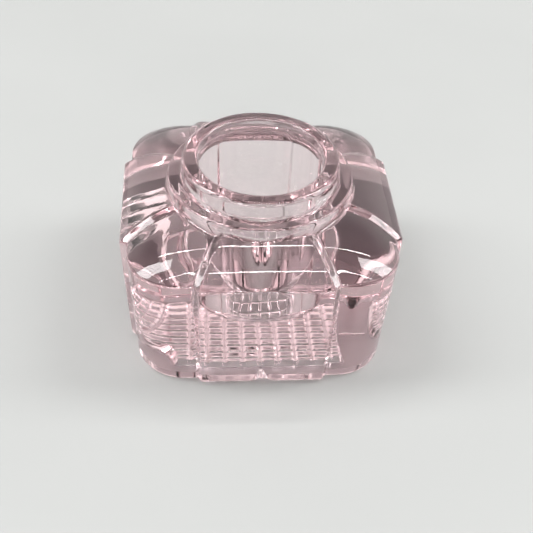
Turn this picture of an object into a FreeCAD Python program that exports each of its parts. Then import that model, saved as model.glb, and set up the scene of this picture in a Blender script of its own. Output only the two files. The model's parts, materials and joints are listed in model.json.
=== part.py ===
"""Pressed-glass inkwell body: one block of glass with four raised centre panels, four rounded corner
lobes, a domed shoulder, a ringed neck, a deep round well and a ribbed field sunk in its foot.

Frame: millimetres, +Z up, the origin at the centre of the foot, one panel facing -Y.
"""
import FreeCAD, Part
import math
import os
import Sketcher

from FreeCAD import Vector

# ---------------------------------------------------------------- driving dimensions

DIMENSIONS = {
    # corner lobes: a rounded square that leans inward towards the foot
    "lobe_reach_foot": 28.9,
    "lobe_reach_shoulder": 30.3,
    "lobe_corner_radius": 11.3,
    "lobe_shoulder_height": 30.6,
    # domed tops of the lobes, from the shoulder in to the neck
    "dome_reach_middle": 25.8,
    "dome_corner_middle": 16.0,
    "dome_height_middle": 34.2,
    "dome_reach_crown": 20.6,
    "dome_corner_crown": 20.3,
    "dome_height_crown": 35.5,
    # raised centre panels, which carry on over the shoulder and narrow to the neck
    "panel_reach_foot": 30.5,
    "panel_reach_shoulder": 32.0,
    "panel_shoulder_height": 30.2,
    "panel_half_root": 8.9,
    "panel_reach_root": 16.0,
    "panel_half_tip": 17.45,
    "panel_reach_tip": 34.0,
    "trim_reach": 36.0,
    "panel_side_bevel": 1.7,
    "panel_arc_radius": 19.0,
    "panel_arc_reach": 20.0,
    "panel_arc_height": 36.3,
    "panel_core_radius": 17.0,
    # ring, ledge, neck and rim
    "ring_radius": 21.6,
    "ring_root_height": 33.0,
    "ledge_radius": 21.2,
    "ledge_height": 38.5,
    "neck_radius": 18.0,
    "rim_height": 43.2,
    # well
    "well_radius": 14.5,
    "well_floor_height": 11.5,
    # sunk field in the foot, with its waffle of ribs
    "field_half": 19.2,
    "field_corner_radius": 0.6,
    "field_depth": 2.0,
    "rib_pitch": 4.13,
    "rib_half_width": 0.7,
    "rib_root_height": 2.4,
    "rib_arc_radius": 0.72,
    "rib_length": 39.4,
    # pointed notch under the middle of each panel, which widens and deepens outward
    "notch_apex_reach": 19.6,
    "notch_apex_half_width": 0.1,
    "notch_apex_height": 0.04,
    "notch_mouth_reach": 32.0,
    "notch_mouth_half_width": 2.8,
    "notch_mouth_height": 1.05,
    # rounded edges
    "panel_foot_radius": 1.2,
    "foot_edge_radius": 0.9,
    "lobe_edge_radius": 0.5,
    "panel_edge_radius": 0.4,
    "ledge_edge_radius": 0.5,
    "neck_root_radius": 0.9,
    "rim_outer_radius": 0.9,
    "rim_inner_radius": 0.5,
    "well_floor_radius": 3.0,
}
RIBS_EACH_WAY = 9
SIDES = 4
NEAR = 1e-3
RING_TOLERANCE = 0.02

doc = FreeCAD.newDocument("pressed_glass_inkwell")


def make_sheet():
    sheet = doc.addObject("Spreadsheet::Sheet", "Dimensions")
    for row, (alias, value) in enumerate(DIMENSIONS.items(), start=1):
        sheet.set(f"A{row}", alias)
        sheet.set(f"B{row}", str(value))
        sheet.setAlias(f"B{row}", alias)
    doc.recompute()
    return sheet


def bind(target, path, expression):
    """Ties one property of an object to the sheet."""
    target.setExpression(path, expression)


def size(alias):
    """A dimension's number, with an optional leading minus, and its expression."""
    sign = -1.0 if alias.startswith("-") else 1.0
    name = alias.lstrip("-")
    prefix = "-" if sign < 0 else ""
    return sign * DIMENSIONS[name], f"{prefix}Dimensions.{name}"


def new_body(name):
    body = doc.addObject("PartDesign::Body", name)
    body.Label = name
    return body


def origin_feature(body, role):
    return next(f for f in body.Origin.OriginFeatures if f.Role == role)


def new_sketch(body, name, plane, lift=None):
    """A sketch on one of the body's own origin planes, raised off it by a dimension of the sheet."""
    sketch = body.newObject("Sketcher::SketchObject", name)
    sketch.AttachmentSupport = [(origin_feature(body, plane), "")]
    sketch.MapMode = "FlatFace"
    if lift:
        bind(sketch, "AttachmentOffset.Base.z", f"Dimensions.{lift}")
    return sketch


# ---------------------------------------------------------------- sketches


def place_point(sketch, geometry, end, axis, alias):
    """Holds one coordinate of a sketch point at a dimension of the sheet, or at zero."""
    kind = "Distance" + axis
    if alias == "0":
        on_axis = -2 if axis == "X" else -1
        sketch.addConstraint(Sketcher.Constraint("PointOnObject", geometry, end, on_axis))
        return
    value, expression = size(alias)
    if value >= 0:
        index = sketch.addConstraint(Sketcher.Constraint(kind, -1, 1, geometry, end, value))
    else:
        index = sketch.addConstraint(Sketcher.Constraint(kind, geometry, end, -1, 1, -value))
        expression = expression.lstrip("-")
    bind(sketch, f"Constraints[{index}]", expression)


def coordinate(alias):
    return 0.0 if alias == "0" else size(alias)[0]


def arc_between(start, end, radius):
    """The shorter arc of this radius from start to end, with its centre on the left of the chord."""
    chord = end - start
    left = Vector(-chord.y, chord.x, 0).normalize()
    depth = math.sqrt(radius ** 2 - (chord.Length / 2) ** 2)
    centre = (start + end) * 0.5 + left * depth
    first = math.atan2(start.y - centre.y, start.x - centre.x)
    last = math.atan2(end.y - centre.y, end.x - centre.x)
    return Part.ArcOfCircle(Part.Circle(centre, Vector(0, 0, 1), radius), first, last)


def draw_outline(sketch, corners, arcs=None):
    """A closed outline through corners given as pairs of aliases. arcs maps an edge's number to the
    alias of its radius; such an edge turns to the left."""
    arcs = arcs or {}
    points = [Vector(coordinate(x), coordinate(y), 0) for x, y in corners]
    count = len(points)
    for i in range(count):
        start = points[i]
        end = points[(i + 1) % count]
        if i in arcs:
            sketch.addGeometry(arc_between(start, end, DIMENSIONS[arcs[i]]))
        else:
            sketch.addGeometry(Part.LineSegment(start, end))
    for i in range(count):
        sketch.addConstraint(Sketcher.Constraint("Coincident", i, 2, (i + 1) % count, 1))
    for i, (x, y) in enumerate(corners):
        place_point(sketch, i, 1, "X", x)
        place_point(sketch, i, 1, "Y", y)
    for i, alias in arcs.items():
        index = sketch.addConstraint(Sketcher.Constraint("Radius", i, DIMENSIONS[alias]))
        bind(sketch, f"Constraints[{index}]", f"Dimensions.{alias}")


def draw_rounded_square(sketch, reach, corner):
    """A square with round corners, centred on the sketch's origin."""
    side = DIMENSIONS[reach]
    radius = DIMENSIONS[corner]
    inset = side - radius
    quarter = math.pi / 2
    for k in range(SIDES):
        turn = FreeCAD.Rotation(Vector(0, 0, 1), 90 * k)
        start = turn.multVec(Vector(-inset, -side, 0))
        end = turn.multVec(Vector(inset, -side, 0))
        centre = turn.multVec(Vector(inset, -inset, 0))
        circle = Part.Circle(centre, Vector(0, 0, 1), radius)
        sketch.addGeometry(Part.LineSegment(start, end))
        sketch.addGeometry(Part.ArcOfCircle(circle, quarter * (k - 1), quarter * k))
    for k in range(SIDES):
        line = 2 * k
        arc = line + 1
        following = (line + 2) % (2 * SIDES)
        sketch.addConstraint(Sketcher.Constraint("Tangent", line, 2, arc, 1))
        sketch.addConstraint(Sketcher.Constraint("Tangent", arc, 2, following, 1))
        level = "Horizontal" if k % 2 == 0 else "Vertical"
        sketch.addConstraint(Sketcher.Constraint(level, line))
        if k:
            sketch.addConstraint(Sketcher.Constraint("Equal", 1, arc))
    sketch.addConstraint(Sketcher.Constraint("Symmetric", 1, 3, 5, 3, -1, 1))
    radius_index = sketch.addConstraint(Sketcher.Constraint("Radius", 1, radius))
    bind(sketch, f"Constraints[{radius_index}]", f"Dimensions.{corner}")
    place_point(sketch, 0, 1, "Y", "-" + reach)
    place_point(sketch, 2, 1, "X", reach)


# ---------------------------------------------------------------- features


def dress(body, kind, name, edges_of, test, property_name, dimension):
    """Dresses the edges of a feature that pass the test."""
    names = [f"Edge{i}" for i, edge in enumerate(edges_of.Shape.Edges, start=1) if test(edge)]
    if not names:
        raise RuntimeError(f"{name}: no edge passes its test")
    feature = body.newObject(kind, name)
    feature.Base = (edges_of, names)
    bind(feature, property_name, f"Dimensions.{dimension}")
    doc.recompute()
    return feature


def fillet(body, name, edges_of, test, radius):
    return dress(body, "PartDesign::Fillet", name, edges_of, test, "Radius", radius)


def bevel(body, name, edges_of, test, width):
    return dress(body, "PartDesign::Chamfer", name, edges_of, test, "Size", width)


def middle(edge):
    return edge.valueAt((edge.FirstParameter + edge.LastParameter) / 2)


def is_ring_at(edge, height, radius):
    """True for a circle about the Z axis of this radius at this height."""
    point = middle(edge)
    off_radius = abs(math.hypot(point.x, point.y) - radius)
    off_height = abs(point.z - height)
    return max(off_radius, off_height) < RING_TOLERANCE and isinstance(edge.Curve, Part.Circle)


def pad(body, name, sketch, length, symmetric=False):
    feature = body.newObject("PartDesign::Pad", name)
    feature.Profile = sketch
    bind(feature, "Length", f"Dimensions.{length}")
    if symmetric:
        feature.Midplane = True
    doc.recompute()
    return feature


def pocket_through(body, name, sketch):
    """Cuts the outline right through the body, to both sides of its sketch."""
    feature = body.newObject("PartDesign::Pocket", name)
    feature.Profile = sketch
    feature.Type = 1
    feature.Midplane = True
    doc.recompute()
    return feature


def spin(body, kind, name, sketch, axis):
    """A Revolution or Groove of the outline, once round one of the sketch's own axes."""
    feature = body.newObject(kind, name)
    feature.Profile = sketch
    feature.ReferenceAxis = (sketch, [axis])
    feature.Angle = 360
    doc.recompute()
    return feature


def loft(body, kind, name, profile, sections, ruled):
    feature = body.newObject(kind, name)
    feature.Profile = profile
    feature.Sections = sections
    feature.Ruled = ruled
    doc.recompute()
    return feature


def around(body, name, originals):
    """Repeats features for each of the block's four sides."""
    pattern = body.newObject("PartDesign::PolarPattern", name)
    pattern.Originals = originals
    pattern.Axis = (origin_feature(body, "Z_Axis"), [""])
    pattern.Angle = 360
    pattern.Occurrences = SIDES
    body.Tip = pattern
    doc.recompute()
    return pattern


# ---------------------------------------------------------------- raised panels


def make_panels():
    """Four panels joined by a core that the block hides."""
    body = new_body("raised_panels")
    core = new_sketch(body, "PanelCoreOutline", "XY_Plane")
    core.addGeometry(Part.Circle(Vector(), Vector(0, 0, 1), DIMENSIONS["panel_core_radius"]))
    core.addConstraint(Sketcher.Constraint("Coincident", 0, 3, -1, 1))
    index = core.addConstraint(Sketcher.Constraint("Radius", 0, DIMENSIONS["panel_core_radius"]))
    bind(core, f"Constraints[{index}]", "Dimensions.panel_core_radius")
    pad(body, "PanelCore", core, "panel_arc_height")

    plan = new_sketch(body, "PanelPlan", "XY_Plane")
    draw_outline(plan, [
        ("-panel_half_root", "-panel_reach_root"),
        ("-panel_half_tip", "-panel_reach_tip"),
        ("panel_half_tip", "-panel_reach_tip"),
        ("panel_half_root", "-panel_reach_root"),
    ])
    arm = pad(body, "PanelArm", plan, "panel_arc_height")

    trim_outline = new_sketch(body, "PanelTrimOutline", "YZ_Plane")
    draw_outline(trim_outline, [
        ("-panel_reach_foot", "0"),
        ("-trim_reach", "0"),
        ("-trim_reach", "rim_height"),
        ("-panel_arc_reach", "rim_height"),
        ("-panel_arc_reach", "panel_arc_height"),
        ("-panel_reach_shoulder", "panel_shoulder_height"),
    ], {4: "panel_arc_radius"})
    trim = pocket_through(body, "PanelTrim", trim_outline)
    panels = around(body, "FourPanels", [arm, trim])
    bevelled = bevel(body, "PanelSides", panels, is_panel_side_edge, "panel_side_bevel")
    softened = fillet(body, "PanelEdges", bevelled, is_raised_panel_edge, "panel_edge_radius")
    fillet(body, "PanelFootEdges", softened, is_panel_foot_edge, "panel_foot_radius")
    return body


def is_panel_edge(edge):
    """True for the edges outside the hidden core: every outer edge of a panel."""
    point = middle(edge)
    return max(abs(point.x), abs(point.y)) > DIMENSIONS["ledge_radius"]


def is_panel_side_edge(edge):
    """True for the long edges at a panel's two sides, over the shoulder and down the wall."""
    first, last = (vertex.Point for vertex in edge.Vertexes)
    rises = abs(first.z - last.z) > NEAR
    return rises and is_panel_edge(edge)


def is_foot_edge(edge):
    return all(abs(vertex.Point.z) < NEAR for vertex in edge.Vertexes)


def is_raised_panel_edge(edge):
    return is_panel_edge(edge) and not is_foot_edge(edge)


def is_panel_foot_edge(edge):
    return is_panel_edge(edge) and is_foot_edge(edge)


# ---------------------------------------------------------------- glass body


def make_lobes(body):
    """The block between the panels: four leaning walls with round corners, under a dome."""
    foot = new_sketch(body, "LobeFootOutline", "XY_Plane")
    draw_rounded_square(foot, "lobe_reach_foot", "lobe_corner_radius")
    shoulder = new_sketch(body, "LobeShoulderOutline", "XY_Plane", "lobe_shoulder_height")
    draw_rounded_square(shoulder, "lobe_reach_shoulder", "lobe_corner_radius")
    middle_ring = new_sketch(body, "DomeMiddleOutline", "XY_Plane", "dome_height_middle")
    draw_rounded_square(middle_ring, "dome_reach_middle", "dome_corner_middle")
    crown = new_sketch(body, "DomeCrownOutline", "XY_Plane", "dome_height_crown")
    draw_rounded_square(crown, "dome_reach_crown", "dome_corner_crown")
    additive = "PartDesign::AdditiveLoft"
    loft(body, additive, "LobeWalls", foot, [shoulder], ruled=True)
    dome = loft(body, additive, "Dome", shoulder, [middle_ring, crown], ruled=False)
    rounded_foot = fillet(body, "FootEdge", dome, is_foot_edge, "foot_edge_radius")
    return fillet(body, "LobeShoulderEdge", rounded_foot, is_lobe_shoulder_edge, "lobe_edge_radius")


def is_lobe_shoulder_edge(edge):
    height = DIMENSIONS["lobe_shoulder_height"]
    return all(abs(vertex.Point.z - height) < NEAR for vertex in edge.Vertexes)


def add_panels(body, panels):
    """Joins the raised panels to the block."""
    feature = body.newObject("PartDesign::Boolean", "WithPanels")
    feature.Type = "Fuse"
    feature.addObjects([panels])
    doc.recompute()


def make_neck(body):
    """The ring that stands on the shoulder, its ledge, the neck wall and the rim."""
    outline = new_sketch(body, "NeckOutline", "XZ_Plane")
    draw_outline(outline, [
        ("0", "ring_root_height"),
        ("ring_radius", "ring_root_height"),
        ("ledge_radius", "ledge_height"),
        ("neck_radius", "ledge_height"),
        ("neck_radius", "rim_height"),
        ("0", "rim_height"),
    ])
    neck = spin(body, "PartDesign::Revolution", "Neck", outline, "V_Axis")
    ledge, neck_radius = DIMENSIONS["ledge_height"], DIMENSIONS["neck_radius"]
    rim = DIMENSIONS["rim_height"]
    lip = fillet(body, "LedgeEdge", neck, lambda e: is_ring_at(e, ledge, DIMENSIONS["ledge_radius"]),
                 "ledge_edge_radius")
    root = fillet(body, "NeckRoot", lip, lambda e: is_ring_at(e, ledge, neck_radius), "neck_root_radius")
    return fillet(body, "RimOuterEdge", root, lambda e: is_ring_at(e, rim, neck_radius), "rim_outer_radius")


def cut_well(body):
    """The round well, open at the rim, with a soft corner round its floor."""
    outline = new_sketch(body, "WellOutline", "XZ_Plane")
    draw_outline(outline, [
        ("0", "well_floor_height"),
        ("well_radius", "well_floor_height"),
        ("well_radius", "rim_height"),
        ("0", "rim_height"),
    ])
    well = spin(body, "PartDesign::Groove", "Well", outline, "V_Axis")
    floor, rim = DIMENSIONS["well_floor_height"], DIMENSIONS["rim_height"]
    radius = DIMENSIONS["well_radius"]
    soft_floor = fillet(body, "WellFloorCorner", well, lambda e: is_ring_at(e, floor, radius),
                        "well_floor_radius")
    return fillet(body, "RimInnerEdge", soft_floor, lambda e: is_ring_at(e, rim, radius), "rim_inner_radius")


def sink_field(body):
    """The sunk square in the foot."""
    outline = new_sketch(body, "FieldOutline", "XY_Plane")
    draw_rounded_square(outline, "field_half", "field_corner_radius")
    field = body.newObject("PartDesign::Pocket", "Field")
    field.Profile = outline
    field.Reversed = True
    bind(field, "Length", "Dimensions.field_depth")
    doc.recompute()


def make_ribs(body, name, plane, direction):
    """Half-round ribs across the sunk field, a pitch apart, all one way."""
    outline = new_sketch(body, name + "Outline", plane)
    steps = (RIBS_EACH_WAY - 1) // 2
    bind(outline, "AttachmentOffset.Base.x", f"-{steps} * Dimensions.rib_pitch")
    draw_outline(outline, [
        ("rib_half_width", "field_depth"),
        ("rib_half_width", "rib_root_height"),
        ("-rib_half_width", "rib_root_height"),
        ("-rib_half_width", "field_depth"),
    ], {3: "rib_arc_radius"})
    rib = pad(body, name, outline, "rib_length", symmetric=True)
    pattern = body.newObject("PartDesign::LinearPattern", name + "s")
    pattern.Originals = [rib]
    pattern.Direction = (origin_feature(body, direction), [""])
    bind(pattern, "Length", f"{RIBS_EACH_WAY - 1} * Dimensions.rib_pitch")
    pattern.Occurrences = RIBS_EACH_WAY
    body.Tip = pattern
    doc.recompute()


def draw_rhombus(sketch, half_width, height):
    """A rhombus round the sketch's origin, as wide as twice half_width and as tall as twice height."""
    draw_outline(sketch, [
        ("-" + half_width, "0"),
        ("0", "-" + height),
        (half_width, "0"),
        ("0", height),
    ])


def cut_notches(body):
    """A pointed notch under the middle of each panel. Its upper half cuts the foot."""
    mouth = new_sketch(body, "NotchMouth", "XZ_Plane", "notch_mouth_reach")
    draw_rhombus(mouth, "notch_mouth_half_width", "notch_mouth_height")
    apex = new_sketch(body, "NotchApex", "XZ_Plane", "notch_apex_reach")
    draw_rhombus(apex, "notch_apex_half_width", "notch_apex_height")
    notch = loft(body, "PartDesign::SubtractiveLoft", "Notch", mouth, [apex], ruled=True)
    around(body, "Notches", [notch])


def make_glass_body():
    panels = make_panels()
    body = new_body("glass_body")
    make_lobes(body)
    add_panels(body, panels)
    make_neck(body)
    cut_well(body)
    sink_field(body)
    make_ribs(body, "RibAlongY", "XZ_Plane", "X_Axis")
    make_ribs(body, "RibAlongX", "YZ_Plane", "Y_Axis")
    cut_notches(body)
    body.Placement = FreeCAD.Placement()
    return body


# ---------------------------------------------------------------- checks and files


def check(parts):
    """Stops the script if anything in the document failed."""
    for thing in doc.Objects:
        if "Invalid" in thing.State or "Error" in thing.State:
            raise RuntimeError(f"{thing.Name} is {thing.State}")
    for part in parts:
        if part.Shape.isNull() or not part.Shape.isValid() or len(part.Shape.Solids) != 1:
            raise RuntimeError(f"{part.Label} has no valid single solid")


def main():
    make_sheet()
    parts = [make_glass_body()]
    doc.recompute()
    check(parts)
    os.makedirs("parts", exist_ok=True)
    for part in parts:
        part.Shape.exportStep(os.path.join("parts", part.Label + ".step"))
        box = part.Shape.BoundBox
        print(part.Label, "volume", round(part.Shape.Volume), "mm3, box", box)


main()
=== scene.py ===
"""Looks of the pressed-glass inkwell body, a single block of pale amethyst glass.

The glass is one closed mesh. Its outside is a sheet of rows, each a loop once round the block, from the
foot up the wall, over the shoulder, ring and neck and down the well. Its underside is a square grid that
carries the sunk field and its crossing ribs. Shapes are worked out in millimetres, and the mesh is scaled
to metres at the end. The frame is the CAD model's: +Z up, the origin at the centre of the foot, one panel
to -Y.
"""

import json
import math

import bmesh
import bpy
from mathutils import Matrix, Vector, noise


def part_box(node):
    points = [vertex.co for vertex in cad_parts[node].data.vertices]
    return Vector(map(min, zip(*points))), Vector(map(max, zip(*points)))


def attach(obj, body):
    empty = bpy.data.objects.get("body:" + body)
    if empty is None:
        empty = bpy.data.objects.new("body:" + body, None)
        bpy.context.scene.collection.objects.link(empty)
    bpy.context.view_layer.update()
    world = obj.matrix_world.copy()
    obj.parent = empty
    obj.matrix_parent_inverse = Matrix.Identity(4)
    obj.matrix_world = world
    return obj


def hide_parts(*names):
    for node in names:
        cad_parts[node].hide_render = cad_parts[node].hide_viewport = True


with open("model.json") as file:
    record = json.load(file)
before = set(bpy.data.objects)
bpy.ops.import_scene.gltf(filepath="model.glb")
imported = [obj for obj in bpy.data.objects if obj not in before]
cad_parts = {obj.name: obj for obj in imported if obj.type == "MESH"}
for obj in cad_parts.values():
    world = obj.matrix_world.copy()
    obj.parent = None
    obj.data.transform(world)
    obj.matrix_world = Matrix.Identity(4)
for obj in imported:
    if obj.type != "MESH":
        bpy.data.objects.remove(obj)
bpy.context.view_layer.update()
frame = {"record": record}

# ---------------------------------------------------------------- sizes, mm unless said otherwise

MM = 0.001                                    # in metres
SIDES = 4
QUARTER = math.tau / SIDES
EIGHTH = QUARTER / 2
GLASS = "glass_body"
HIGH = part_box(GLASS)[1]
MOUNTS = {mount["name"]: mount for mount in frame["record"]["mounts"]}

HALF_WIDTH = HIGH.x / MM                      # over the raised panels, at the shoulder
RIM_HEIGHT = HIGH.z / MM
WELL_RADIUS = MOUNTS["well"]["dims"]["r_mm"]
NECK_RADIUS = MOUNTS["neck"]["dims"]["r_mm"]

# raised panels and the lobes between them, at the foot and at the shoulder
PANEL_FOOT = HALF_WIDTH - 1.5
PANEL_FOOT_ROUND = 1.8
PANEL_SHOULDER_HEIGHT = 30.2
PANEL_ARC = 19.0                              # radius of a panel's shoulder in profile
PANEL_ARC_CENTRE = 17.95                      # how far that arc's centre lies from the axis
PANEL_EDGE_ANGLE = math.radians(24.7)         # half of the angle that a panel takes up round the block
LOBE_FOOT = HALF_WIDTH - 3.1
LOBE_FOOT_ROUND = 1.3
LOBE_SHOULDER = HALF_WIDTH - 1.7
LOBE_SHOULDER_HEIGHT = 30.6
LOBE_CORNER = 11.3                            # radius of a lobe in plan
DOME_RISE = 5.0
DOME_POWER = 2.3                              # 1 is a cone; more is fuller near the shoulder
DOME_DIP = 0.7                                # how far a lobe's dome sinks where it meets a panel
DIP_POWER = 3
DIP_START = 0.25                              # share of the dome over which the dip sets in
BEVEL_FOOT = 1.6                              # width of a panel's sloping side
BEVEL_SHOULDER = 1.9
EDGE_ROUND = 0.55

# ring, ledge, neck, rim and well
RING_RADIUS = 21.6
RING_FOOT = 36.0                              # height at which the ring's wall leaves the shoulder
LEDGE_RADIUS = 21.2
LEDGE_HEIGHT = 38.5
LEDGE_ROUND = 0.6
NECK_ROOT_ROUND = 0.9
RIM_OUTER_ROUND = 1.0
RIM_INNER_ROUND = 0.6
WELL_FLOOR = 11.5
WELL_CORNER = 3.0

# underside
FIELD_HALF = 19.2
FIELD_DEPTH = 2.0
FIELD_DRAFT = 0.3                             # how far the field's sides lean in over its depth
RIB_PITCH = 4.13
RIB_DEPTH = 0.6
RIB_HALF_WIDTH = 0.95
RIB_STEPS = 4                                 # ribs each side of the middle one
GRID_HALF = 19.55                             # half the side of the underside's square grid
BORDER_HALF = 20.1                            # where the border's rows start, just outside that grid
NOTCH_START = 19.6                            # distance from the axis to a notch's point
NOTCH_HALF_WIDTH = 2.5
NOTCH_HEIGHT = 0.9
NOTCH_POWER = 1.5                             # 1 is a plain wedge; more is rounder at the top
NOTCH_FADE = 5.0                              # height at which the wall no longer shows the notch

# ---------------------------------------------------------------- small helpers


def lerp(a, b, share):
    return a + (b - a) * share


def spaced(start, end, count):
    """Evenly spaced values, from just after start up to and including end."""
    return [lerp(start, end, (i + 1) / count) for i in range(count)]


def arc(centre, radius, start_deg, end_deg, count):
    """Points (r, z) along an arc, both ends included."""
    points = []
    for i in range(count + 1):
        angle = math.radians(lerp(start_deg, end_deg, i / count))
        points.append((centre[0] + radius * math.cos(angle), centre[1] + radius * math.sin(angle)))
    return points


def soft_corner(before, corner, after, count):
    """Points (r, z) of a smooth bend that leaves before, heads for the corner and arrives at after."""
    points = []
    for i in range(count + 1):
        u = i / count
        points.append(tuple(
            (1 - u) ** 2 * b + 2 * u * (1 - u) * c + u * u * a
            for b, c, a in zip(before, corner, after)))
    return points


def toward(start, end, distance):
    """The point (r, z) this far from start on the way to end."""
    share = distance / math.dist(start, end)
    return tuple(lerp(a, b, share) for a, b in zip(start, end))


# ---------------------------------------------------------------- profiles

WALL_ROWS = 14
CORNER_ROWS = 5
SHOULDER_SHARES = [0.0] + spaced(0.08, 1.0, 18)   # of the way from the shoulder's edge in to the ring


def square_radius(reach, corner, angle):
    """Distance from the axis to a rounded square, at an angle from the middle of its side."""
    inset = reach - corner
    if reach * math.tan(angle) <= inset:
        return reach / math.cos(angle)
    across = inset * (math.cos(angle) - math.sin(angle))
    return inset * (math.cos(angle) + math.sin(angle)) + math.sqrt(corner ** 2 - across ** 2)


def arc_height(y):
    """Height of a panel's shoulder at a distance y from the axis plane."""
    centre_height = PANEL_SHOULDER_HEIGHT - math.sqrt(PANEL_ARC ** 2 - (HALF_WIDTH - PANEL_ARC_CENTRE) ** 2)
    return centre_height + math.sqrt(PANEL_ARC ** 2 - (y - PANEL_ARC_CENTRE) ** 2)


def shell_profile(foot, shoulder, foot_round, over):
    """Rows (r, z) of the outside from the foot up to the ring. over holds the points across the shoulder,
    from its outer edge inward."""
    lowest = (foot - foot_round, 0.0)
    heel = toward((foot, 0.0), shoulder, foot_round)
    rows = soft_corner(lowest, (foot, 0.0), heel, CORNER_ROWS)
    below = toward(shoulder, heel, EDGE_ROUND)
    support = toward(below, heel, EDGE_ROUND)
    rows += [tuple(lerp(a, b, s) for a, b in zip(heel, support)) for s in spaced(0, 1, WALL_ROWS)]
    after = toward(shoulder, over[1], EDGE_ROUND)
    rows += soft_corner(below, shoulder, after, CORNER_ROWS)
    return rows + over[1:]


def panel_profile(angle):
    """A panel's rows at an angle from its middle: a leaning wall, then an arc in to the ring."""
    stretch = 1 / math.cos(angle)
    y_ring = RING_RADIUS * math.cos(angle)
    over = []
    for share in SHOULDER_SHARES:
        y = lerp(HALF_WIDTH, y_ring, share)
        over.append((y * stretch, arc_height(y)))
    shoulder = (HALF_WIDTH * stretch, PANEL_SHOULDER_HEIGHT)
    return shell_profile(PANEL_FOOT * stretch, shoulder, PANEL_FOOT_ROUND, over)


def lobe_profile(angle):
    """A lobe's rows at an angle from the middle of the nearest panel: a wall, then a dome to the ring."""
    foot = square_radius(LOBE_FOOT, LOBE_CORNER, angle)
    edge = square_radius(LOBE_SHOULDER, LOBE_CORNER, angle)
    off_middle = abs(EIGHTH - angle) / (EIGHTH - PANEL_EDGE_ANGLE)
    over = []
    for share in SHOULDER_SHARES:
        rise = DOME_RISE * (1 - (1 - share) ** DOME_POWER)
        dip = DOME_DIP * off_middle ** DIP_POWER * min(1.0, share / DIP_START)
        over.append((lerp(edge, RING_RADIUS, share), LOBE_SHOULDER_HEIGHT + rise - dip))
    return shell_profile(foot, (edge, LOBE_SHOULDER_HEIGHT), LOBE_FOOT_ROUND, over)


# how the ring, neck and well are divided: shares of each flat stretch, and steps of each round
LEDGE_SHARES = (0.2, 0.5, 0.8)
NECK_ROOT_ROWS = 6
NECK_SHARES = (0.12, 0.4, 0.7, 0.92)
RIM_OUTER_ROWS = 7
RIM_SHARES = (0.15, 0.5, 0.85)
RIM_INNER_ROWS = 5
WELL_SHARES = spaced(0.0, 0.98, 16)
WELL_CORNER_ROWS = 9
FLOOR_SHARES = (0.96, 0.85, 0.68, 0.5, 0.32, 0.15)


def ring_profile():
    """Rows (r, z) of the ring's upper edge and its ledge, in to the root of the neck."""
    ring_foot = (RING_RADIUS, RING_FOOT)
    ring_top = (LEDGE_RADIUS, LEDGE_HEIGHT)
    below = toward(ring_top, ring_foot, LEDGE_ROUND)
    on_ledge = toward(ring_top, (NECK_RADIUS, LEDGE_HEIGHT), LEDGE_ROUND)
    root = NECK_RADIUS + NECK_ROOT_ROUND
    rows = [toward(below, ring_foot, LEDGE_ROUND / 2)]
    rows += soft_corner(below, ring_top, on_ledge, CORNER_ROWS)
    rows += [(lerp(LEDGE_RADIUS - LEDGE_ROUND, root, share), LEDGE_HEIGHT) for share in LEDGE_SHARES]
    return rows


def neck_profile():
    """Rows (r, z) of the neck's wall and the rim, with the round at the neck's root and the rim's two."""
    root = (NECK_RADIUS + NECK_ROOT_ROUND, LEDGE_HEIGHT + NECK_ROOT_ROUND)
    outer = (NECK_RADIUS - RIM_OUTER_ROUND, RIM_HEIGHT - RIM_OUTER_ROUND)
    inner = (WELL_RADIUS + RIM_INNER_ROUND, RIM_HEIGHT - RIM_INNER_ROUND)
    rows = arc(root, NECK_ROOT_ROUND, 270, 180, NECK_ROOT_ROWS)
    rows += [(NECK_RADIUS, lerp(root[1], outer[1], share)) for share in NECK_SHARES]
    rows += arc(outer, RIM_OUTER_ROUND, 0, 90, RIM_OUTER_ROWS)
    rows += [(lerp(outer[0], inner[0], share), RIM_HEIGHT) for share in RIM_SHARES]
    rows += arc(inner, RIM_INNER_ROUND, 90, 180, RIM_INNER_ROWS)
    return rows


def well_profile():
    """Rows (r, z) of the well's wall, the soft corner round its floor and the floor."""
    top = RIM_HEIGHT - RIM_INNER_ROUND
    corner = (WELL_RADIUS - WELL_CORNER, WELL_FLOOR + WELL_CORNER)
    rows = [(WELL_RADIUS, lerp(top, corner[1], share)) for share in WELL_SHARES]
    rows += arc(corner, WELL_CORNER, 360, 270, WELL_CORNER_ROWS)
    rows += [(corner[0] * share, WELL_FLOOR) for share in FLOOR_SHARES]
    return rows


# ---------------------------------------------------------------- columns

NOTCH_COLUMNS = 8
NOTCH_COLUMN_STEP = 0.028                     # as a share of a panel's half width
PANEL_COLUMNS = 16
LOBE_COLUMNS = 16
BEVEL_SOFTNESS = 0.07
# across a panel's side, where 0 is the panel's edge and 1 is the lobe's
BEVEL_STEPS = (-0.2, -0.1, -0.03, 0.05, 0.14, 0.32, 0.5, 0.68, 0.86, 0.95, 1.03, 1.1, 1.2)


def bevel_share(u):
    """0 on the panel, 1 on the lobe, and straight between, with a soft bend at each end."""
    soft = BEVEL_SOFTNESS
    return 0.5 * (math.hypot(u, soft) - math.hypot(u - 1, soft) + 1)


def octant_stations():
    """Columns from the middle of a panel to the middle of a lobe: (kind, position along that stretch)."""
    near_notch = [("panel", i * NOTCH_COLUMN_STEP) for i in range(NOTCH_COLUMNS)]
    beyond_notch = spaced(near_notch[-1][1], 1.0, PANEL_COLUMNS + 1)[:-1]
    panel = [("panel", share) for share in beyond_notch]
    bevel = [("bevel", u) for u in BEVEL_STEPS]
    lobe = [("lobe", share) for share in spaced(0.0, 1.0, LOBE_COLUMNS)]
    return near_notch + panel + bevel + lobe


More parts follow.
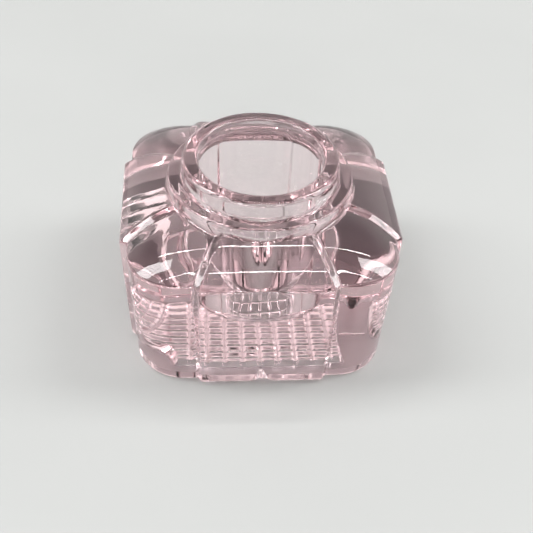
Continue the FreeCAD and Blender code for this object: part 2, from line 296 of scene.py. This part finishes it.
def station(kind, position, bevel):
    """A column's angle, and how far it belongs to the lobe, from 0 to 1. bevel is the angle that a panel's
    sloping side takes up."""
    edge = PANEL_EDGE_ANGLE
    if kind == "panel":
        return (edge + bevel * BEVEL_STEPS[0]) * position, 0.0
    if kind == "bevel":
        return edge + bevel * position, bevel_share(position)
    return lerp(edge + bevel * BEVEL_STEPS[-1], EIGHTH, position), 1.0


def column(kind, position):
    """One column of the outside: its angle and (r, z) row by row, from the foot to the ring."""
    edge = PANEL_EDGE_ANGLE
    points = []
    for row, (edge_r, edge_z) in enumerate(panel_profile(edge)):
        height = min(1.0, edge_z / PANEL_SHOULDER_HEIGHT)
        bevel = lerp(BEVEL_FOOT, BEVEL_SHOULDER, height) / edge_r
        angle, share = station(kind, position, bevel)
        on_panel = panel_profile(min(angle, edge + bevel))[row]
        on_lobe = lobe_profile(angle)[row]
        points.append((angle, lerp(on_panel[0], on_lobe[0], share), lerp(on_panel[1], on_lobe[1], share)))
    return points


def round_block(octant):
    """An octant's columns of (angle, r, z), mirrored and turned to go once round the block."""
    columns = []
    for side in range(SIDES):
        start = QUARTER * side
        end = QUARTER * (side + 1)
        columns += [[(start + angle, r, z) for angle, r, z in points] for points in octant[:-1]]
        columns += [[(end - angle, r, z) for angle, r, z in points] for points in octant[:0:-1]]
    return columns


# ---------------------------------------------------------------- underside


def notch_lift(x, y):
    """How far the foot is raised under the middle of a panel, where a pointed notch opens outward."""
    reach = max(abs(x), abs(y))
    aside = min(abs(x), abs(y))
    share = (reach - NOTCH_START) / (PANEL_FOOT - NOTCH_START)
    if share <= 0:
        return 0.0
    across = aside / (NOTCH_HALF_WIDTH * share)
    return NOTCH_HEIGHT * share * max(0.0, 1 - across ** NOTCH_POWER)


ACROSS_RIB = (-1.0, -0.8, -0.6, -0.4, -0.2, 0.0, 0.2, 0.4, 0.6, 0.8, 1.0)    # in half widths of a rib
BETWEEN_RIBS = (-0.6, 0.0, 0.6)
INSIDE_EDGE = (-0.1, 0.0, FIELD_DRAFT, 0.5, 1.2)


def grid_lines():
    """Where the underside's grid lines run: close together across each rib and at the field's edge."""
    lines = []
    for k in range(-RIB_STEPS, RIB_STEPS + 1):
        lines += [k * RIB_PITCH + share * RIB_HALF_WIDTH for share in ACROSS_RIB]
        if k < RIB_STEPS:
            lines += [(k + 0.5) * RIB_PITCH + shift for shift in BETWEEN_RIBS]
    for inward in INSIDE_EDGE:
        lines += [inward - FIELD_HALF, FIELD_HALF - inward]
    lines += [-GRID_HALF, GRID_HALF]
    return sorted(lines)


def field_height(x, y):
    """Height of the underside: a sunk square field, with soft ribs that hang from its ceiling."""
    height = FIELD_DEPTH
    for value in (x, y):
        border = (FIELD_HALF - abs(value)) / FIELD_DRAFT * FIELD_DEPTH
        height = min(height, max(0.0, border))
        off = abs(value - RIB_PITCH * round(value / RIB_PITCH))
        if off < RIB_HALF_WIDTH:
            swell = 0.5 + 0.5 * math.cos(math.pi * off / RIB_HALF_WIDTH)
            height = min(height, FIELD_DEPTH - RIB_DEPTH * swell)
    return height


# ---------------------------------------------------------------- glass mesh

CLEAR = 0                                     # the glass's materials, by their place on the mesh
GROUND_PAINTED_SHADE = 1
BORDER_SHARES = (0.0, 0.12, 0.3, 0.5, 0.7, 0.86)   # of the way out across the foot's flat border
GROUND_PAINTED_SHADE_ROWS = 3                               # the border's inner rows take the rough foot material with its painted shade; the others stay clear
FLAT = 0.01                                   # the foot's flat border lies below this height
RIPPLES = (
    # height, waves to the millimetre, and where in the noise they start
    (0.05, 0.13, Vector((5.1, 2.7, 9.4))),
    (0.007, 0.55, Vector((1.3, 7.9, 3.2))),
)


def add_object(name, data):
    thing = bpy.data.objects.new(name, data)
    bpy.context.scene.collection.objects.link(thing)
    return thing


def is_flat(face):
    return all(vert.co.z < FLAT for vert in face.verts)


def add_rows(mesh, columns):
    """Vertices of the outside, as rows of equal length, with the quads between them."""
    grid = []
    for row in range(len(columns[0])):
        ring = []
        for points in columns:
            angle, r, z = points[row]
            x = r * math.cos(angle)
            y = r * math.sin(angle)
            if z < NOTCH_FADE and r > NOTCH_START:
                z += notch_lift(x, y) * (1 - z / NOTCH_FADE)
            ring.append(mesh.verts.new((x, y, z)))
        grid.append(ring)
    count = len(grid[0])
    for row, (lower, upper) in enumerate(zip(grid, grid[1:])):
        for i in range(count):
            j = (i + 1) % count
            face = mesh.faces.new((lower[i], lower[j], upper[j], upper[i]))
            face.material_index = GROUND_PAINTED_SHADE if row < GROUND_PAINTED_SHADE_ROWS and is_flat(face) else CLEAR
    return grid


def close_floor(mesh, ring):
    """A fan from the last row to a point at the centre of the well's floor."""
    centre = mesh.verts.new((0, 0, WELL_FLOOR))
    for i, vert in enumerate(ring):
        mesh.faces.new((vert, ring[(i + 1) % len(ring)], centre))


def border_columns(columns):
    """The columns, each with the rows of the flat border before it, from beside the field outward."""
    bordered = []
    for points in columns:
        angle, r_out, height = points[0]
        off_panel = angle - QUARTER * round(angle / QUARTER)
        r_in = BORDER_HALF / math.cos(off_panel)
        border = [(angle, lerp(r_in, r_out, share), height) for share in BORDER_SHARES]
        bordered.append(border + points)
    return bordered


def add_field(mesh):
    """The grid of the sunk field."""
    lines = grid_lines()
    verts = [[mesh.verts.new((x, y, field_height(x, y))) for x in lines] for y in lines]
    last = len(lines) - 1
    for j in range(last):
        for i in range(last):
            mesh.faces.new((verts[j][i], verts[j + 1][i], verts[j + 1][i + 1], verts[j][i + 1]))


def open_edges(mesh):
    return [edge for edge in mesh.edges if edge.is_boundary]


def ripple(mesh):
    """Moves the pressed faces in and out a little, as glass that shrank in its mould."""
    mesh.normal_update()
    shifts = []
    for vert in mesh.verts:
        amount = sum(height * noise.noise(vert.co * waves + start) for height, waves, start in RIPPLES)
        shifts.append(vert.normal * amount)
    for vert, shift in zip(mesh.verts, shifts):
        if vert.co.z > FLAT:
            vert.co += shift


def outside_columns():
    """Every column of (angle, r, z), from beside the sunk field to the middle of the well."""
    octant = [column(kind, position) for kind, position in octant_stations()]
    columns = border_columns(round_block(octant))
    turned = ring_profile() + neck_profile() + well_profile()
    return [points + [(points[-1][0], r, z) for r, z in turned] for points in columns]


def build_glass():
    """The block of glass, as one closed mesh."""
    columns = outside_columns()
    mesh = bmesh.new()
    grid = add_rows(mesh, columns)
    close_floor(mesh, grid[-1])
    add_field(mesh)
    bridge = bmesh.ops.bridge_loops(mesh, edges=open_edges(mesh))
    # the strip between the field and the border takes the rough foot material, painted shade included
    for face in bridge["faces"]:
        face.material_index = GROUND_PAINTED_SHADE
    bmesh.ops.recalc_face_normals(mesh, faces=mesh.faces)
    ripple(mesh)
    for face in mesh.faces:
        face.smooth = True
    bmesh.ops.scale(mesh, vec=(MM, MM, MM), verts=mesh.verts)
    data = bpy.data.meshes.new("pressed_glass")
    mesh.to_mesh(data)
    mesh.free()
    return add_object("pressed_glass", data)


# ---------------------------------------------------------------- materials

GLASS_IOR = 1.51
TINT = (0.74, 0.18, 0.27, 1.0)
TINT_DENSITY = 7.5
CLEAR_SKIN = (1.0, 1.0, 1.0, 1.0)
# painted shade: the rough foot's skin is dark and the foot is only half clear, so that its band reads as
# the shade where the block sits on the floor; its roughness is the real grinding of the foot
GROUND_PAINTED_SHADE_SKIN = (0.16, 0.145, 0.15, 1.0)
CHILL_SCALE = 420.0                           # ripples of the chilled skin, to the metre
CHILL_DETAIL = 3.0
CHILL_STRENGTH = 0.15
CHILL_HEIGHT = 0.05 * MM
FLOOR_COLOURS = ((0.325, 0.33, 0.325, 1.0), (0.345, 0.35, 0.345, 1.0))
FLOOR_ROUGHNESS = 0.75
MOTTLE_SCALE = 30.0


def new_material(name):
    """A material, with its nodes, its links and its shader."""
    material = bpy.data.materials.new(name)
    material.use_nodes = True
    tree = material.node_tree
    return material, tree.nodes, tree.links, tree.nodes["Principled BSDF"]


def glass_material(name, skin, roughness, clearness):
    """Pale amethyst glass, tinted through its depth, with the fine ripples of a chilled skin."""
    material, nodes, links, shader = new_material(name)
    shader.inputs["Base Color"].default_value = skin
    shader.inputs["Transmission Weight"].default_value = clearness
    shader.inputs["Roughness"].default_value = roughness
    shader.inputs["IOR"].default_value = GLASS_IOR
    absorption = nodes.new("ShaderNodeVolumeAbsorption")
    absorption.inputs["Color"].default_value = TINT
    absorption.inputs["Density"].default_value = TINT_DENSITY
    links.new(absorption.outputs["Volume"], nodes["Material Output"].inputs["Volume"])
    coordinates = nodes.new("ShaderNodeTexCoord")
    ripples = nodes.new("ShaderNodeTexNoise")
    ripples.inputs["Scale"].default_value = CHILL_SCALE
    ripples.inputs["Detail"].default_value = CHILL_DETAIL
    bump = nodes.new("ShaderNodeBump")
    bump.inputs["Strength"].default_value = CHILL_STRENGTH
    bump.inputs["Distance"].default_value = CHILL_HEIGHT
    links.new(coordinates.outputs["Object"], ripples.inputs["Vector"])
    links.new(ripples.outputs["Fac"], bump.inputs["Height"])
    links.new(bump.outputs["Normal"], shader.inputs["Normal"])
    return material


def floor_material():
    """Plain pale board with a faint mottle."""
    material, nodes, links, shader = new_material("pale_floor")
    shader.inputs["Roughness"].default_value = FLOOR_ROUGHNESS
    mottle = nodes.new("ShaderNodeTexNoise")
    mottle.inputs["Scale"].default_value = MOTTLE_SCALE
    ramp = nodes.new("ShaderNodeValToRGB")
    for stop, colour in zip(ramp.color_ramp.elements, FLOOR_COLOURS):
        stop.color = colour
    links.new(mottle.outputs["Fac"], ramp.inputs["Fac"])
    links.new(ramp.outputs["Color"], shader.inputs["Base Color"])
    return material


# ---------------------------------------------------------------- scene, metres

FLOOR_HALF = 0.9
FLOOR_DROP = 0.05 * MM                        # a hair below the foot, so that the two share no plane
SKY = (
    # height, as the sine of its elevation, and colour
    (0.45, (1.0, 0.98, 0.96, 1.0)),
    (0.72, (0.40, 0.40, 0.40, 1.0)),
)
BLOCK_MIDDLE = (0.0, 0.0, 0.02)
STRIP_AIM = (0.07, 0.0, 0.0)
LIGHTS = (
    # name, place, aim, width, depth, and power in watts
    ("strip_back", (0.07, 0.30, 1.0), STRIP_AIM, 1.3, 0.022, 2.6),
    ("strip_front", (0.07, -0.37, 1.0), STRIP_AIM, 1.3, 0.022, 2.6),
    ("low_front", (-0.1, -1.35, 0.45), BLOCK_MIDDLE, 1.5, 0.06, 6.0),
    ("side_left", (-0.75, 0.05, 0.95), BLOCK_MIDDLE, 0.3, 0.9, 9.0),
    ("side_right", (0.8, 0.05, 0.8), BLOCK_MIDDLE, 0.3, 0.8, 7.0),
)
CAMERA_PLACE = Vector((-0.496, -5.771, 5.493))   # in half widths of the block
CAMERA_YAW = math.radians(5.73)
CAMERA_PITCH = math.radians(-41.92)
CAMERA_ROLL = math.radians(3.13)
LENS = 67.43                                  # mm, on a sensor SENSOR wide
SENSOR = 36.0
NEAREST = 0.01
FARTHEST = 20.0


def make_floor():
    """A plain square of board for the block to stand on."""
    data = bpy.data.meshes.new("floor")
    mesh = bmesh.new()
    bmesh.ops.create_grid(mesh, x_segments=1, y_segments=1, size=FLOOR_HALF)
    mesh.to_mesh(data)
    mesh.free()
    data.materials.append(floor_material())
    floor = add_object("floor", data)
    floor.location.z = -FLOOR_DROP


def make_world():
    """Pale surroundings that dim with height, so that the block's upper faces keep some dark in them."""
    world = bpy.data.worlds.new("studio")
    bpy.context.scene.world = world
    world.use_nodes = True
    nodes = world.node_tree.nodes
    links = world.node_tree.links
    coordinates = nodes.new("ShaderNodeTexCoord")
    parts = nodes.new("ShaderNodeSeparateXYZ")
    ramp = nodes.new("ShaderNodeValToRGB")
    ramp.color_ramp.interpolation = "EASE"
    for stop, (height, colour) in zip(ramp.color_ramp.elements, SKY):
        stop.position = height
        stop.color = colour
    links.new(coordinates.outputs["Generated"], parts.inputs["Vector"])
    links.new(parts.outputs["Z"], ramp.inputs["Fac"])
    links.new(ramp.outputs["Color"], nodes["Background"].inputs["Color"])


def area_light(name, place, aim, width, depth, power):
    """A rectangular light at place, facing aim."""
    data = bpy.data.lights.new(name, "AREA")
    data.shape = "RECTANGLE"
    data.size = width
    data.size_y = depth
    data.energy = power
    light = add_object(name, data)
    light.location = place
    light.rotation_euler = (Vector(aim) - Vector(place)).to_track_quat("-Z", "Y").to_euler()


def make_lights():
    """Two long strips overhead, a low one in front and a soft box on each side."""
    for light in LIGHTS:
        area_light(*light)


def camera_turn():
    """The camera's rotation: yaw from +Y towards +X, pitch up from level and roll about its view."""
    forward = Vector((
        math.sin(CAMERA_YAW) * math.cos(CAMERA_PITCH),
        math.cos(CAMERA_YAW) * math.cos(CAMERA_PITCH),
        math.sin(CAMERA_PITCH)))
    level = Vector((math.cos(CAMERA_YAW), -math.sin(CAMERA_YAW), 0.0))
    up = level.cross(forward)
    right = math.cos(CAMERA_ROLL) * level + math.sin(CAMERA_ROLL) * up
    up = math.cos(CAMERA_ROLL) * up - math.sin(CAMERA_ROLL) * level
    return Matrix((right, up, -forward)).transposed()


def make_camera():
    """The photograph's point of view."""
    data = bpy.data.cameras.new("camera")
    data.lens = LENS
    data.sensor_width = SENSOR
    data.clip_start = NEAREST
    data.clip_end = FARTHEST
    camera = add_object("camera", data)
    camera.matrix_world = Matrix.Translation(CAMERA_PLACE * HIGH.x) @ camera_turn().to_4x4()
    bpy.context.scene.camera = camera


def main():
    bpy.context.scene.view_settings.view_transform = "Standard"
    bpy.context.scene.view_settings.look = "Medium High Contrast"
    glass = build_glass()
    clear = glass_material("amethyst_glass", CLEAR_SKIN, roughness=0.015, clearness=1.0)
    # the rough foot: its roughness is real grinding, while its dark skin and half clearness are painted
    # shade
    ground_and_shade = glass_material("ground_foot", GROUND_PAINTED_SHADE_SKIN, roughness=0.35, clearness=0.5)
    glass.data.materials.append(clear)
    glass.data.materials.append(ground_and_shade)
    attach(glass, "root")
    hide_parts(GLASS)
    make_floor()
    make_world()
    make_lights()
    make_camera()


main()
